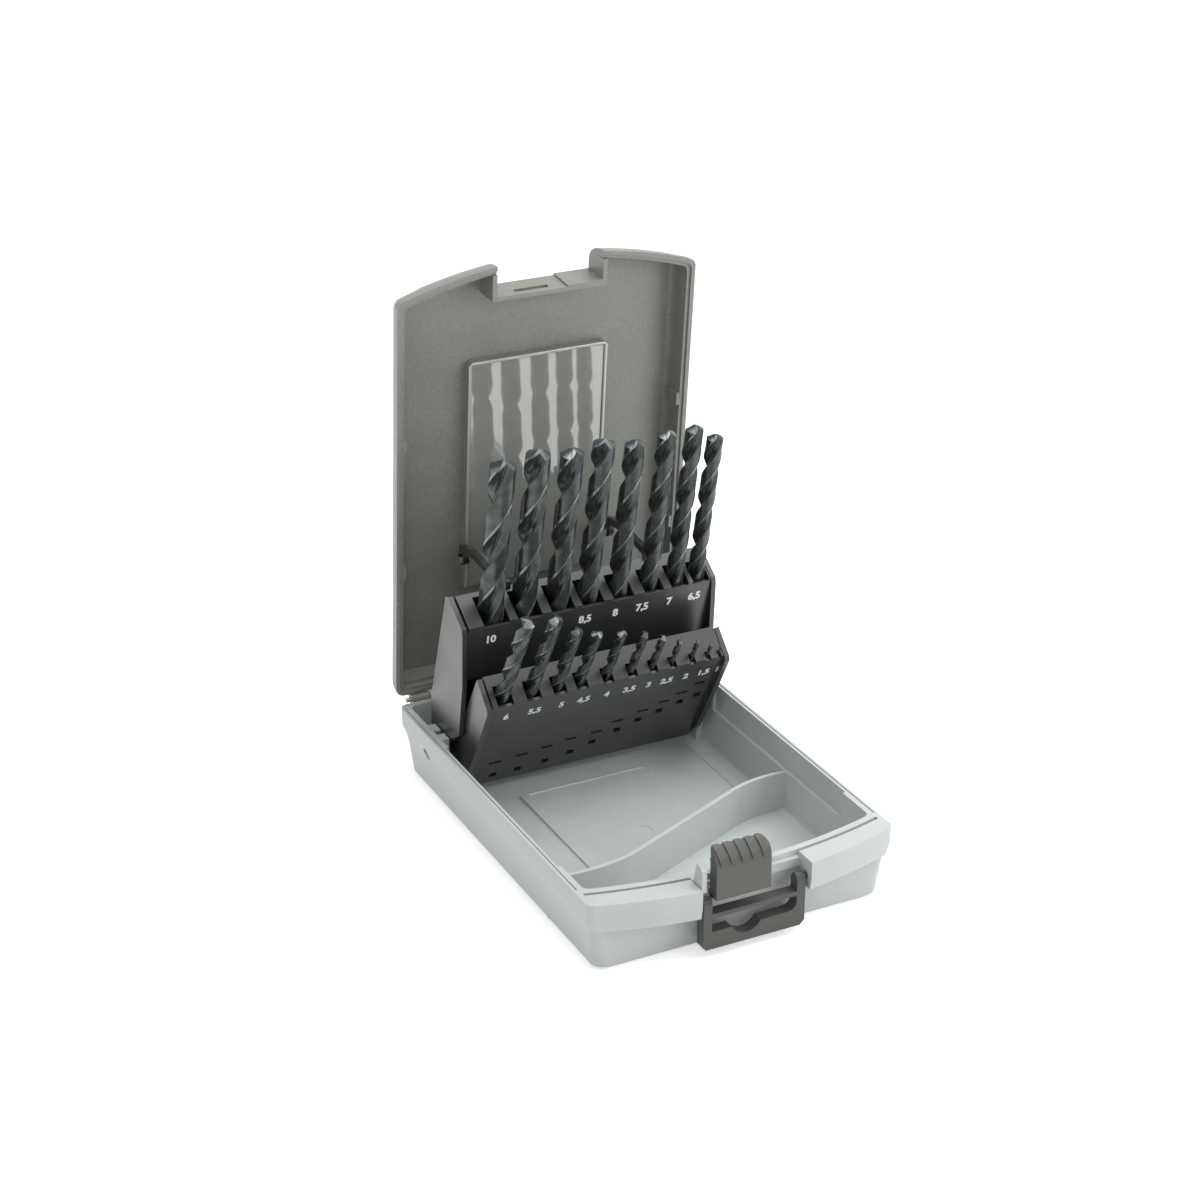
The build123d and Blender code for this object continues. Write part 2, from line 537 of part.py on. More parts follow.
# ---------------------------------------------------------------- latch flap
def curled_section(grow):
    """Sketch the flap's section in (y, z), upright with its top curled back, its skin moved out by grow."""
    with BuildSketch(Plane(origin=(FLAP_LEFT, 0, 0), x_dir=(0, 1, 0), z_dir=(1, 0, 0))) as section:
        with BuildLine():
            Line((FLAP_FRONT - grow, FLAP_BOTTOM), (FLAP_FRONT - grow, 34.0))
            ThreePointArc((FLAP_FRONT - grow, 34.0), (-88.9 - 0.8 * grow, 39.5 + 0.6 * grow), (-85.6, FLAP_TOP + grow))
            Line((-85.6, FLAP_TOP + grow), (-85.6, 40.7))
            ThreePointArc((-85.6, 40.7), (-87.7, 38.8), (-88.9, 34.0))
            Line((-88.9, 34.0), (-88.9, FLAP_BOTTOM))
            Line((-88.9, FLAP_BOTTOM), (FLAP_FRONT - grow, FLAP_BOTTOM))
        make_face()
    return section.sketch


with BuildPart() as latch_flap:
    # Five slanted grip ridges on the curled top
    extrude(curled_section(0.45), amount=FLAP_RIGHT - FLAP_LEFT)
    block(FLAP_LEFT - 1.0, FLAP_RIGHT + 1.0, -93.0, -84.0, FLAP_BOTTOM - 1.0, 36.2, Mode.SUBTRACT)
    with BuildSketch(Plane.XZ.offset(84.0)):
        for groove_x in (-16.3, -12.2, -8.1, -4.0, 0.1, 4.2):
            Polygon((groove_x - 1.6, 43.5), (groove_x + 0.1, 43.5), (groove_x + 1.6, 36.0), (groove_x - 0.1, 36.0),
                    align=None)
    extrude(amount=9.0, mode=Mode.SUBTRACT)
    # Plate and its cheeks, cut to the rounded front outline
    extrude(curled_section(0.0), amount=FLAP_RIGHT - FLAP_LEFT)
    for cheek_x in (FLAP_LEFT, FLAP_RIGHT - 1.2):
        side_slab(cheek_x, cheek_x + 1.2, [(-89.4, 26.0), (-85.7, 27.2), (-85.7, 41.4), (-87.6, 39.9), (-89.4, 35.6)])
    with BuildSketch(Plane.XZ.offset(84.0)):
        with BuildLine():
            Polyline((1.1, FLAP_TOP + 0.5), (FLAP_LEFT, FLAP_TOP + 0.5), (FLAP_LEFT, FLAP_BOTTOM),
                     (FLAP_RIGHT, FLAP_BOTTOM), (FLAP_RIGHT, 38.6))
            ThreePointArc((FLAP_RIGHT, 38.6), (3.8, 41.4), (1.1, FLAP_TOP + 0.5))
        make_face()
    extrude(amount=9.0, mode=Mode.INTERSECT)
    # Barrels on the pin
    for low, high in ((-16.0, -10.2), (-2.2, 4.4)):
        cross_bar(low, high, FLAP_AXIS, 1.9)
        side_slab(low, high, [(-86.6, 22.9), (-86.2, 26.1), (-89.2, 27.0), (-89.2, FLAP_BOTTOM)])
        cross_bar(low, high, FLAP_AXIS, 0.86, Mode.SUBTRACT)
    # Hook for the groove in the lid
    side_slab(-12.6, 0.2, [(-89.2, 32.0), (-79.2, 32.0), (-78.7, 32.4), (-79.2, 33.2), (-89.2, 33.6)])

latch_flap.part.label = "latch_flap"
export_step(latch_flap.part, "parts/latch_flap.step")

# ---------------------------------------------------------------- latch pin
with BuildPart() as latch_pin:
    cross_bar(-15.8, 4.2, FLAP_AXIS, 0.8)

latch_pin.part.label = "latch_pin"
export_step(latch_pin.part, "parts/latch_pin.step")

# ---------------------------------------------------------------- carry handle
with BuildPart() as carry_handle:
    with BuildSketch(Plane.XZ.offset(HANDLE_FRONT - HANDLE_DEPTH)) as handle_plan:
        with BuildLine():
            Polyline((-HANDLE_OUTER, HANDLE_AXIS[1]), (-HANDLE_OUTER, 4.4), (-18.8, 3.2), (18.2, 3.2),
                     (HANDLE_OUTER, 5.0), (HANDLE_OUTER, HANDLE_AXIS[1]), (HANDLE_INNER, HANDLE_AXIS[1]),
                     (HANDLE_INNER, 17.1), (-HANDLE_INNER, 17.1), (-HANDLE_INNER, HANDLE_AXIS[1]),
                     (-HANDLE_OUTER, HANDLE_AXIS[1]))
        make_face()
        # Finger opening with a dip in its lower edge
        with BuildLine():
            Polyline((HANDLE_INNER, 13.0), (HANDLE_INNER, 15.4), (-HANDLE_INNER, 15.4), (-HANDLE_INNER, 10.0),
                     (-8.8, 10.1))
            ThreePointArc((-8.8, 10.1), (-3.9, 6.6), (2.4, 9.7))
            Line((2.4, 9.7), (13.6, 10.0))
            ThreePointArc((13.6, 10.0), (15.7, 10.9), (HANDLE_INNER, 13.0))
        make_face(mode=Mode.SUBTRACT)
    extrude(amount=HANDLE_DEPTH)
    for side in (-1, 1):
        low, high = sorted((side * HANDLE_INNER, side * HANDLE_OUTER))
        cross_bar(low, high, HANDLE_AXIS, 1.9)
        low, high = sorted((side * (HANDLE_OUTER - 0.1), side * 22.8))
        cross_bar(low, high, HANDLE_AXIS, 1.2)

carry_handle.part.label = "carry_handle"
export_step(carry_handle.part, "parts/carry_handle.step")


# ---------------------------------------------------------------- twist drills
def make_drill(top, lean, face, diameter, x, tip, length):
    """Build one drill standing in its socket: shank, body and point."""
    radius = diameter / 2
    seat = tip - length
    axis_plane = side_plane(top, lean, x)
    forward = face - radius
    start = rack_point(top, lean, forward, seat)
    with BuildPart() as drill:
        with BuildSketch(axis_plane):
            Polygon(*counter_clockwise([
                (forward, seat), (forward + radius, seat), (forward + radius, tip - POINT_SLOPE * radius),
                (forward, tip)]), align=None)
        revolve(axis=Axis((x, start[0], start[1]), axis_plane.y_dir))
    name = "drill_" + f"{diameter:.1f}".replace(".", "_")
    drill.part.label = name
    export_step(drill.part, f"parts/{name}.step")


for drill_diameter, drill_x, drill_tip, drill_length in REAR_DRILLS:
    make_drill(REAR_TOP, REAR_LEAN, REAR_DRILL_FACE, drill_diameter, drill_x, drill_tip, drill_length)
for drill_diameter, drill_x, drill_tip, drill_length in FRONT_DRILLS:
    make_drill(FRONT_TOP, FRONT_LEAN, FRONT_DRILL_FACE, drill_diameter, drill_x, drill_tip, drill_length)
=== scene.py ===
import json
import logging
import math
from dataclasses import dataclass
from enum import Enum

import bmesh
import bpy
from mathutils import Matrix, Vector


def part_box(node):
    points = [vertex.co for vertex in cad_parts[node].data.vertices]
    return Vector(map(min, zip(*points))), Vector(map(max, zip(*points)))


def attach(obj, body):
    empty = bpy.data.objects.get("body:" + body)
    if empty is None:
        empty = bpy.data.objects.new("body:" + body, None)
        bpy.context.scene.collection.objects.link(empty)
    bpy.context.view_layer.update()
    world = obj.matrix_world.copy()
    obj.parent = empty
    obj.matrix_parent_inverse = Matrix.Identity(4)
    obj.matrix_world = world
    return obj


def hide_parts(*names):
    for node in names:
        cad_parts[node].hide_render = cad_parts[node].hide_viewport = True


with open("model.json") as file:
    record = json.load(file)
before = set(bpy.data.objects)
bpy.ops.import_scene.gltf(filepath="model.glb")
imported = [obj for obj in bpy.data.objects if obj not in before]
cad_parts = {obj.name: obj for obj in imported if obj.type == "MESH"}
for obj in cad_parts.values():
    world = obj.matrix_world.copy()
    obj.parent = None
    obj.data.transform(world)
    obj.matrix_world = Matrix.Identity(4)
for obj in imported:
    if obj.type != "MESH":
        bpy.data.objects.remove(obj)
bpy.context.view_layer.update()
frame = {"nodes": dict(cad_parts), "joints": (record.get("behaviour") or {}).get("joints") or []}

MM = 0.001
# How near two points are merged, and how little an edge turns to be dissolved
MERGE_MM = 0.002
FLAT_DEG = 0.6
Colour = tuple[float, float, float]
Place = tuple[float, float, float]
log = logging.getLogger("drill_case")


# ---------------------------------------------------------------- finishes
class Graph:
    """Writes the node tree of a material or of the world."""

    # A noise's values hardly leave this range
    NOISE_RANGE = (0.3, 0.7)

    def __init__(self, owner: bpy.types.ID, output: str = "ShaderNodeOutputMaterial") -> None:
        """Start an empty tree.

        Args:
            owner: the material or world that the tree belongs to.
            output: type name of its output node.
        """
        self.owner = owner
        self.owner.use_nodes = True
        self.tree = self.owner.node_tree
        self.tree.nodes.clear()
        self.output = self.add(output)

    def add(self, kind: str, **settings: object) -> bpy.types.Node:
        """Add a node and set its properties.

        Args:
            kind: the node's type name.
            settings: properties to set on it.

        Returns:
            The new node.
        """
        node = self.tree.nodes.new(kind)
        for key, value in settings.items():
            setattr(node, key, value)
        return node

    def link(self, source: bpy.types.NodeSocket, target: bpy.types.NodeSocket) -> None:
        """Join two sockets."""
        self.tree.links.new(source, target)

    def places(self, stretch: tuple[float, float, float] = (1.0, 1.0, 1.0)) -> bpy.types.NodeSocket:
        """Add object coordinates, scaled per axis.

        Args:
            stretch: scale along each axis, where a small one draws a pattern out.

        Returns:
            The scaled coordinates.
        """
        coordinates = self.add("ShaderNodeTexCoord")
        mapping = self.add("ShaderNodeMapping")
        mapping.inputs["Scale"].default_value = stretch
        self.link(coordinates.outputs["Object"], mapping.inputs["Vector"])
        return mapping.outputs["Vector"]

    def noise(self, where: bpy.types.NodeSocket, size_mm: float,
              detail: float = 3.0) -> bpy.types.NodeSocket:
        """Add noise whose blotches are about size_mm across.

        Args:
            where: the coordinates it reads.
            size_mm: size of a blotch.
            detail: number of finer octaves.

        Returns:
            The noise value, from 0 to 1.
        """
        node = self.add("ShaderNodeTexNoise")
        node.inputs["Scale"].default_value = 1.0 / (size_mm * MM)
        node.inputs["Detail"].default_value = detail
        self.link(where, node.inputs["Vector"])
        return node.outputs["Fac"]

    def spread(self, value: bpy.types.NodeSocket, low: float, high: float) -> bpy.types.NodeSocket:
        """Stretch a noise's usual range onto another.

        Args:
            value: the noise.
            low: result at the low end of the noise.
            high: result at its high end.

        Returns:
            The stretched value.
        """
        node = self.add("ShaderNodeMapRange")
        ends = (*self.NOISE_RANGE, low, high)
        for socket, end in zip(("From Min", "From Max", "To Min", "To Max"), ends):
            node.inputs[socket].default_value = end
        self.link(value, node.inputs["Value"])
        return node.outputs["Result"]

    def blend(self, share: bpy.types.NodeSocket, first: Colour | bpy.types.NodeSocket,
              second: Colour | bpy.types.NodeSocket) -> bpy.types.NodeSocket:
        """Mix two colours, each a colour or a socket.

        Args:
            share: how much of the second shows.
            first: colour at share 0.
            second: colour at share 1.

        Returns:
            The mixed colour.
        """
        node = self.add("ShaderNodeMix", data_type="RGBA")
        self.link(share, node.inputs[0])
        for socket, colour in ((node.inputs[6], first), (node.inputs[7], second)):
            if isinstance(colour, tuple):
                socket.default_value = (*colour, 1.0)
            else:
                self.link(colour, socket)
        return node.outputs[2]

    def relief(self, height: bpy.types.NodeSocket, depth_mm: float) -> bpy.types.NodeSocket:
        """Turn a height into a bumped normal.

        Args:
            height: the height, from 0 to 1.
            depth_mm: how deep the bumps are.

        Returns:
            The bumped normal.
        """
        node = self.add("ShaderNodeBump")
        node.inputs["Strength"].default_value = 1.0
        node.inputs["Distance"].default_value = depth_mm * MM
        self.link(height, node.inputs["Height"])
        return node.outputs["Normal"]

    def surface(self) -> bpy.types.Node:
        """Add the main shader and join it to the output.

        Returns:
            The shader's node.
        """
        shader = self.add("ShaderNodeBsdfPrincipled")
        self.link(shader.outputs["BSDF"], self.output.inputs["Surface"])
        return shader

    def backdrop_ray(self) -> bpy.types.NodeSocket:
        """Find the rays that see the backdrop: straight, by reflection or through glass.

        Returns:
            A value that is 1 on those rays and 0 on all others.
        """
        ray = self.add("ShaderNodeLightPath")
        seen = ray.outputs["Is Camera Ray"]
        for kind in ("Is Glossy Ray", "Is Transmission Ray"):
            either = self.add("ShaderNodeMath", operation="MAXIMUM")
            self.link(seen, either.inputs[0])
            self.link(ray.outputs[kind], either.inputs[1])
            seen = either.outputs[0]
        return seen


def shade(colour: Colour, factor: float) -> Colour:
    """Return a colour made darker or lighter by a factor."""
    return tuple(min(1.0, channel * factor) for channel in colour)


@dataclass(frozen=True)
class MouldedPlastic:
    """Satin moulded plastic: a fine spark-eroded grain, pigment speckle and soft mottling."""

    name: str
    colour: Colour
    roughness: float
    contrast: float
    speckle: float
    grain_mm: float
    grain_depth_mm: float
    coat: float = 0.0
    coat_roughness: float = 0.25
    specular: float = 0.5
    mottle_mm: float = 14.0
    speckle_grains: float = 2.2
    speckle_shade: float = 0.45
    unevenness: float = 0.05

    def build(self) -> bpy.types.Material:
        """Write the material.

        Returns:
            The new material.
        """
        graph = Graph(bpy.data.materials.new(self.name))
        where = graph.places()
        mottle = graph.noise(where, self.mottle_mm, detail=4.0)
        speckle = graph.noise(where, self.grain_mm * self.speckle_grains, detail=2.0)
        grain = graph.noise(where, self.grain_mm, detail=2.0)
        broad = graph.blend(graph.spread(mottle, 0.0, 1.0), shade(self.colour, 1.0 - self.contrast),
                            shade(self.colour, 1.0 + self.contrast))
        fine = graph.blend(graph.spread(speckle, 0.0, self.speckle), broad,
                           shade(self.colour, self.speckle_shade))
        roughness = graph.spread(mottle, self.roughness - self.unevenness,
                                 self.roughness + self.unevenness)
        shader = graph.surface()
        graph.link(fine, shader.inputs["Base Color"])
        graph.link(roughness, shader.inputs["Roughness"])
        shader.inputs["Specular IOR Level"].default_value = self.specular
        shader.inputs["Coat Weight"].default_value = self.coat
        shader.inputs["Coat Roughness"].default_value = self.coat_roughness
        graph.link(graph.relief(grain, self.grain_depth_mm), shader.inputs["Normal"])
        return graph.owner


@dataclass(frozen=True)
class PolishedPlastic:
    """Polished plastic: mirror-like, slightly wavy, with a few hairline scuffs."""

    name: str
    colour: Colour
    roughness: float
    wave_mm: float
    wave_depth_mm: float = 0.05
    haze_mm: float = 5.0
    haze_contrast: float = 0.04
    scuff_mm: float = 0.5
    scuff_stretch: float = 0.06
    scuff_roughness: float = 0.05
    coat_roughness: float = 0.03
    coat_ior: float = 2.15

    def build(self) -> bpy.types.Material:
        """Write the material.

        Returns:
            The new material.
        """
        graph = Graph(bpy.data.materials.new(self.name))
        where = graph.places()
        wave = graph.noise(where, self.wave_mm, detail=1.0)
        haze = graph.noise(where, self.haze_mm, detail=4.0)
        scuff = graph.noise(graph.places((1.0, 1.0, self.scuff_stretch)), self.scuff_mm, detail=2.0)
        colour = graph.blend(graph.spread(haze, 0.0, 1.0),
                             shade(self.colour, 1.0 - self.haze_contrast),
                             shade(self.colour, 1.0 + self.haze_contrast))
        roughness = graph.spread(scuff, self.roughness, self.roughness + self.scuff_roughness)
        shader = graph.surface()
        graph.link(colour, shader.inputs["Base Color"])
        graph.link(roughness, shader.inputs["Roughness"])
        shader.inputs["Coat Weight"].default_value = 1.0
        shader.inputs["Coat Roughness"].default_value = self.coat_roughness
        shader.inputs["Coat IOR"].default_value = self.coat_ior
        graph.link(graph.relief(wave, self.wave_depth_mm), shader.inputs["Normal"])
        return graph.owner


@dataclass(frozen=True)
class OxideSteel:
    """Steam-blackened drill steel: dark, blue-green, glossy, with rubbed patches."""

    name: str
    colour: Colour
    rubbed: Colour
    roughness: float
    patch_mm: float = 3.5
    mark_mm: float = 0.25
    mark_stretch: float = 0.35
    mark_share: float = 0.35
    mark_shade: float = 0.5
    mark_depth_mm: float = 0.006
    smoother: float = 0.06
    rougher: float = 0.12
    metallic: float = 0.75

    def build(self) -> bpy.types.Material:
        """Write the material.

        Returns:
            The new material.
        """
        graph = Graph(bpy.data.materials.new(self.name))
        patches = graph.noise(graph.places(), self.patch_mm, detail=4.0)
        marks = graph.noise(graph.places((1.0, 1.0, self.mark_stretch)), self.mark_mm)
        worn = graph.blend(graph.spread(patches, 0.0, 1.0), self.colour, self.rubbed)
        colour = graph.blend(graph.spread(marks, 0.0, self.mark_share), worn,
                             shade(self.colour, self.mark_shade))
        roughness = graph.spread(marks, self.roughness - self.smoother,
                                 self.roughness + self.rougher)
        shader = graph.surface()
        graph.link(colour, shader.inputs["Base Color"])
        graph.link(roughness, shader.inputs["Roughness"])
        shader.inputs["Metallic"].default_value = self.metallic
        graph.link(graph.relief(marks, self.mark_depth_mm), shader.inputs["Normal"])
        return graph.owner


@dataclass(frozen=True)
class GroundSteel:
    """Bright ground or drawn steel with fine parallel marks."""

    name: str
    colour: Colour
    roughness: float
    mark_mm: float = 0.12
    mark_stretch: float = 0.1
    mark_shade: float = 0.8
    mark_depth_mm: float = 0.004
    rougher: float = 0.12

    def build(self) -> bpy.types.Material:
        """Write the material.

        Returns:
            The new material.
        """
        graph = Graph(bpy.data.materials.new(self.name))
        marks = graph.noise(graph.places((self.mark_stretch, 1.0, 1.0)), self.mark_mm)
        colour = graph.blend(graph.spread(marks, 0.0, 1.0), shade(self.colour, self.mark_shade),
                             self.colour)
        roughness = graph.spread(marks, self.roughness, self.roughness + self.rougher)
        shader = graph.surface()
        graph.link(colour, shader.inputs["Base Color"])
        graph.link(roughness, shader.inputs["Roughness"])
        shader.inputs["Metallic"].default_value = 1.0
        graph.link(graph.relief(marks, self.mark_depth_mm), shader.inputs["Normal"])
        return graph.owner


@dataclass(frozen=True)
class PrintedInk:
    """White hot-stamped ink, a little uneven."""

    name: str
    colour: Colour
    patch_mm: float = 0.3
    patch_shade: float = 0.86
    patch_depth_mm: float = 0.004
    roughness: tuple[float, float] = (0.4, 0.55)

    def build(self) -> bpy.types.Material:
        """Write the material.

        Returns:
            The new material.
        """
        graph = Graph(bpy.data.materials.new(self.name))
        patch = graph.noise(graph.places(), self.patch_mm)
        colour = graph.blend(graph.spread(patch, 0.0, 1.0), shade(self.colour, self.patch_shade),
                             self.colour)
        shader = graph.surface()
        graph.link(colour, shader.inputs["Base Color"])
        graph.link(graph.spread(patch, *self.roughness), shader.inputs["Roughness"])
        graph.link(graph.relief(patch, self.patch_depth_mm), shader.inputs["Normal"])
        return graph.owner


class Finish(Enum):
    """The case's finishes."""

    TRAY = MouldedPlastic("tray_satin_grey", (0.53, 0.562, 0.558), roughness=0.40, contrast=0.03,
                          speckle=0.10, grain_mm=0.35, grain_depth_mm=0.012)
    LID = MouldedPlastic("lid_satin_olive_grey", (0.240, 0.249, 0.222), roughness=0.38,
                         contrast=0.05, speckle=0.32, grain_mm=0.45, grain_depth_mm=0.016,
                         coat=0.15)
    PANEL = PolishedPlastic("panel_polished", (0.265, 0.275, 0.248), roughness=0.06, wave_mm=22.0)
    LIP = PolishedPlastic("panel_lip_polished", (0.36, 0.37, 0.34), roughness=0.14, wave_mm=9.0)
    RACK = MouldedPlastic("rack_satin_black", (0.025, 0.027, 0.026), roughness=0.34, contrast=0.10,
                          speckle=0.16, grain_mm=0.3, grain_depth_mm=0.010, coat=0.5)
    LINK = MouldedPlastic("link_satin_black", (0.016, 0.016, 0.016), roughness=0.36, contrast=0.10,
                          speckle=0.16, grain_mm=0.3, grain_depth_mm=0.010, coat=0.6)
    LATCH = MouldedPlastic("latch_satin_grey", (0.088, 0.090, 0.080), roughness=0.40, contrast=0.08,
                           speckle=0.24, grain_mm=0.35, grain_depth_mm=0.014)
    HANDLE = MouldedPlastic("handle_satin_grey", (0.066, 0.067, 0.060), roughness=0.42,
                            contrast=0.08, speckle=0.24, grain_mm=0.35, grain_depth_mm=0.014)
    DRILL = OxideSteel("drill_black_oxide", (0.058, 0.067, 0.066), (0.104, 0.116, 0.114),
                       roughness=0.28)
    # The margins are coloured a lighter steel than the rest of the body.
    MARGIN = OxideSteel("drill_margin_lighter", (0.170, 0.190, 0.187), (0.270, 0.290, 0.287),
                        roughness=0.24)
    POINT = GroundSteel("drill_point_ground", (0.23, 0.245, 0.245), roughness=0.24)
    POINT_DARK = OxideSteel("drill_point_oxide", (0.085, 0.100, 0.104), (0.150, 0.170, 0.175),
                            roughness=0.25)
    PIN = GroundSteel("pin_drawn_wire", (0.48, 0.48, 0.49), roughness=0.3)
    INK = PrintedInk("printed_white", (0.86, 0.86, 0.85))

    def material(self) -> bpy.types.Material:
        """Return this finish's material, made on first use."""
        return bpy.data.materials.get(self.value.name) or self.value.build()


# ---------------------------------------------------------------- helpers
def new_object(name: str, data: bpy.types.ID) -> bpy.types.Object:
    """Put new data into the scene at the origin.

    Args:
        name: the object's name.
        data: the mesh, text, lamp or camera that it holds.

    Returns:
        The new object.
    """
    piece = bpy.data.objects.new(name, data)
    bpy.context.scene.collection.objects.link(piece)
    return piece


def to_object(name: str, mesh: bmesh.types.BMesh, finishes: list[Finish],
              sharp_deg: float) -> bpy.types.Object:
    """Turn a bmesh into a shaded object at the origin.

    Args:
        name: the piece's name.
        mesh: the bmesh, which is freed.
        finishes: one finish per material index.
        sharp_deg: edges that turn more than this stay sharp.

    Returns:
        The new object.
    """
    limit = math.radians(sharp_deg)
    for face in mesh.faces:
        face.smooth = True
    for edge in mesh.edges:
        edge.smooth = len(edge.link_faces) == 2 and edge.calc_face_angle(math.pi) < limit
    data = bpy.data.meshes.new(name)
    mesh.to_mesh(data)
    mesh.free()
    for finish in finishes:
        data.materials.append(finish.material())
    return new_object(name, data)


def round_edges(mesh: bmesh.types.BMesh, edges: list[bmesh.types.BMEdge], width_mm: float,
                segments: int) -> None:
    """Round edges of a mesh.

    Args:
        mesh: the bmesh that changes.
        edges: the edges to round.
        width_mm: how far the rounding reaches into the faces.
        segments: number of facets over the rounding.
    """
    bmesh.ops.bevel(mesh, geom=edges, offset=width_mm * MM, offset_type="OFFSET", segments=segments,
                    profile=0.5, affect="EDGES", clamp_overlap=True, material=-1)


def joint_named(name: str) -> dict:
    """Return a joint of the frame."""
    return next(joint for joint in frame["joints"] if joint["name"] == name)


def rack_axes(slide: str) -> tuple[Vector, Vector]:
    """Return a rack's up and forward directions, from the slide of a drill in it.

    Args:
        slide: name of the drill's slide joint.

    Returns:
        The unit vectors up the drills and out of the rack's front face.
    """
    up = Vector(joint_named(slide)["axis"]).normalized()
    return up, Vector((1.0, 0.0, 0.0)).cross(up)


def lid_closing() -> Matrix:
    """Find the turn that lays the open lid on the tray.

    Returns:
        The turn about the lid's hinge.
    """
    hinge = joint_named("lid_hinge")
    centre = Vector(hinge["pos_m"])
    turn = Matrix.Rotation(math.radians(hinge["range_deg"][0]), 4, Vector(hinge["axis"]))
    return Matrix.Translation(centre) @ turn @ Matrix.Translation(-centre)


# ---------------------------------------------------------------- moulded parts
@dataclass
class MouldedPart:
    """A moulded part dressed from its CAD node, its sharp edges rounded as a mould leaves them."""

    node: str
    body: str
    slot: str
    finish: Finish
    edge_mm: float
    sharp_deg: float = 34.0

    def rounded(self) -> bmesh.types.BMesh:
        """Copy the node's mesh, merge it and round its sharp edges.

        Returns:
            The new bmesh.
        """
        mesh = bmesh.new()
        mesh.from_mesh(frame["nodes"][self.node].data)
        bmesh.ops.remove_doubles(mesh, verts=mesh.verts, dist=MERGE_MM * MM)
        bmesh.ops.dissolve_limit(mesh, angle_limit=math.radians(FLAT_DEG), verts=mesh.verts,
                                 edges=mesh.edges)
        self.shape(mesh)
        limit = math.radians(self.sharp_deg)
        sharp = [edge for edge in mesh.edges
                 if len(edge.link_faces) == 2 and edge.calc_face_angle(0.0) > limit]
        round_edges(mesh, sharp, self.edge_mm, segments=2)
        return mesh

    def shape(self, mesh: bmesh.types.BMesh) -> None:
        """Leave the merged mesh as it is. A part with a fuller form changes it here."""

    def build(self) -> bpy.types.Object:
        """Build the piece over its node.

        Returns:
            The new piece.
        """
        piece = to_object(f"{self.node}_shell", self.rounded(), [self.finish], self.sharp_deg)
        flats = piece.modifiers.new("flat_faces_stay_flat", "WEIGHTED_NORMAL")
        flats.keep_sharp = True
        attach(piece, self.body)
        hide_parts(self.node)
        return piece


@dataclass
class LidShell(MouldedPart):
    """The lid, whose side and front walls curve over into its back.

    Depths run from the rim to the back. The lid's skin, which is what lies within skin_mm of the
    plain wall, goes in with the dome. Everything else is only kept inside the domed wall.
    """

    half_width_mm: float = 60.0
    corner_mm: float = -81.15
    bow_mm: float = 10.2
    rim_mm: float = 28.4
    depth_mm: float = 12.1
    dome_mm: float = 7.0
    wall_mm: float = 0.9
    # Depths at which the mesh is cut, so that it can follow the dome
    rings_mm: tuple[float, ...] = (3.0, 5.2, 7.2, 8.4, 10.2, 11.7)
    # Depths, each with how far the plain wall has come in there
    wall_slope_mm: tuple[tuple[float, float], ...] = (
        (0.0, 0.0), (9.1, 0.5), (11.2, 1.3), (12.1, 3.0))
    skin_mm: float = 1.15
    skin_reach_mm: float = 2.6
    back_from_mm: float = 11.05
    fade_from_mm: float = 12.0
    fade_over_mm: float = 5.0
    cut_mm: float = 0.0005

    def dome(self, depth: float) -> float:
        """Return how far the domed wall stands in from the rim at a depth, in millimetres."""
        share = min(1.0, max(0.0, depth / self.depth_mm))
        return self.dome_mm * (1.0 - math.sqrt(1.0 - share * share))

    def slope(self, depth: float) -> float:
        """Find how far the plain wall stands in from the rim.

        Args:
            depth: depth below the rim, in millimetres.

        Returns:
            The distance, in millimetres.
        """
        for (low, first), (high, last) in zip(self.wall_slope_mm, self.wall_slope_mm[1:]):
            if depth <= high:
                return first + (last - first) * max(0.0, depth - low) / (high - low)
        return self.wall_slope_mm[-1][1]

    def fade(self, distance: float) -> float:
        """Return the share of the dome that the skin takes at a distance from a wall's foot."""
        return min(1.0, max(0.0, (self.fade_from_mm - distance) / self.fade_over_mm))

    def domed(self, point: Vector) -> Vector:
        """Find where a point of the closed lid goes.

        Args:
            point: the point, in millimetres.

        Returns:
            Its new place, in millimetres.
        """
        depth = point.z - self.rim_mm
        front = self.corner_mm - self.bow_mm * (1.0 - (point.x / self.half_width_mm) ** 2)
        from_side = self.half_width_mm - abs(point.x)
        from_front = point.y - front
        from_rear = -self.corner_mm - point.y
        dome, slope = self.dome(depth), self.slope(depth)
        nearest = min(from_side, from_front, from_rear)
        outer = nearest < self.skin_reach_mm or depth > self.back_from_mm
        if outer and nearest <= slope + self.skin_mm:
            side = abs(point.x) - (dome - slope) * self.fade(from_side)
            forward = point.y + (dome - slope) * self.fade(from_front)
        else:
            side = min(abs(point.x), self.half_width_mm - dome - self.wall_mm)
            forward = max(point.y, front + dome + self.wall_mm)
        return Vector((math.copysign(side, point.x), forward, point.z))

    def shape(self, mesh: bmesh.types.BMesh) -> None:
        """Dome the walls of the lid's mesh.

        Args:
            mesh: the merged mesh of the open lid.
        """
        closing = lid_closing()
        bmesh.ops.transform(mesh, matrix=closing, verts=mesh.verts)
        for depth in self.rings_mm:
            everything = list(mesh.verts) + list(mesh.edges) + list(mesh.faces)
            bmesh.ops.bisect_plane(mesh, geom=everything, dist=self.cut_mm * MM,
                                   plane_co=(0.0, 0.0, (self.rim_mm + depth) * MM),
                                   plane_no=(0.0, 0.0, 1.0))
        for vert in mesh.verts:
            if vert.co.z > self.rim_mm * MM:
                vert.co = self.domed(vert.co / MM) * MM
        bmesh.ops.transform(mesh, matrix=closing.inverted(), verts=mesh.verts)


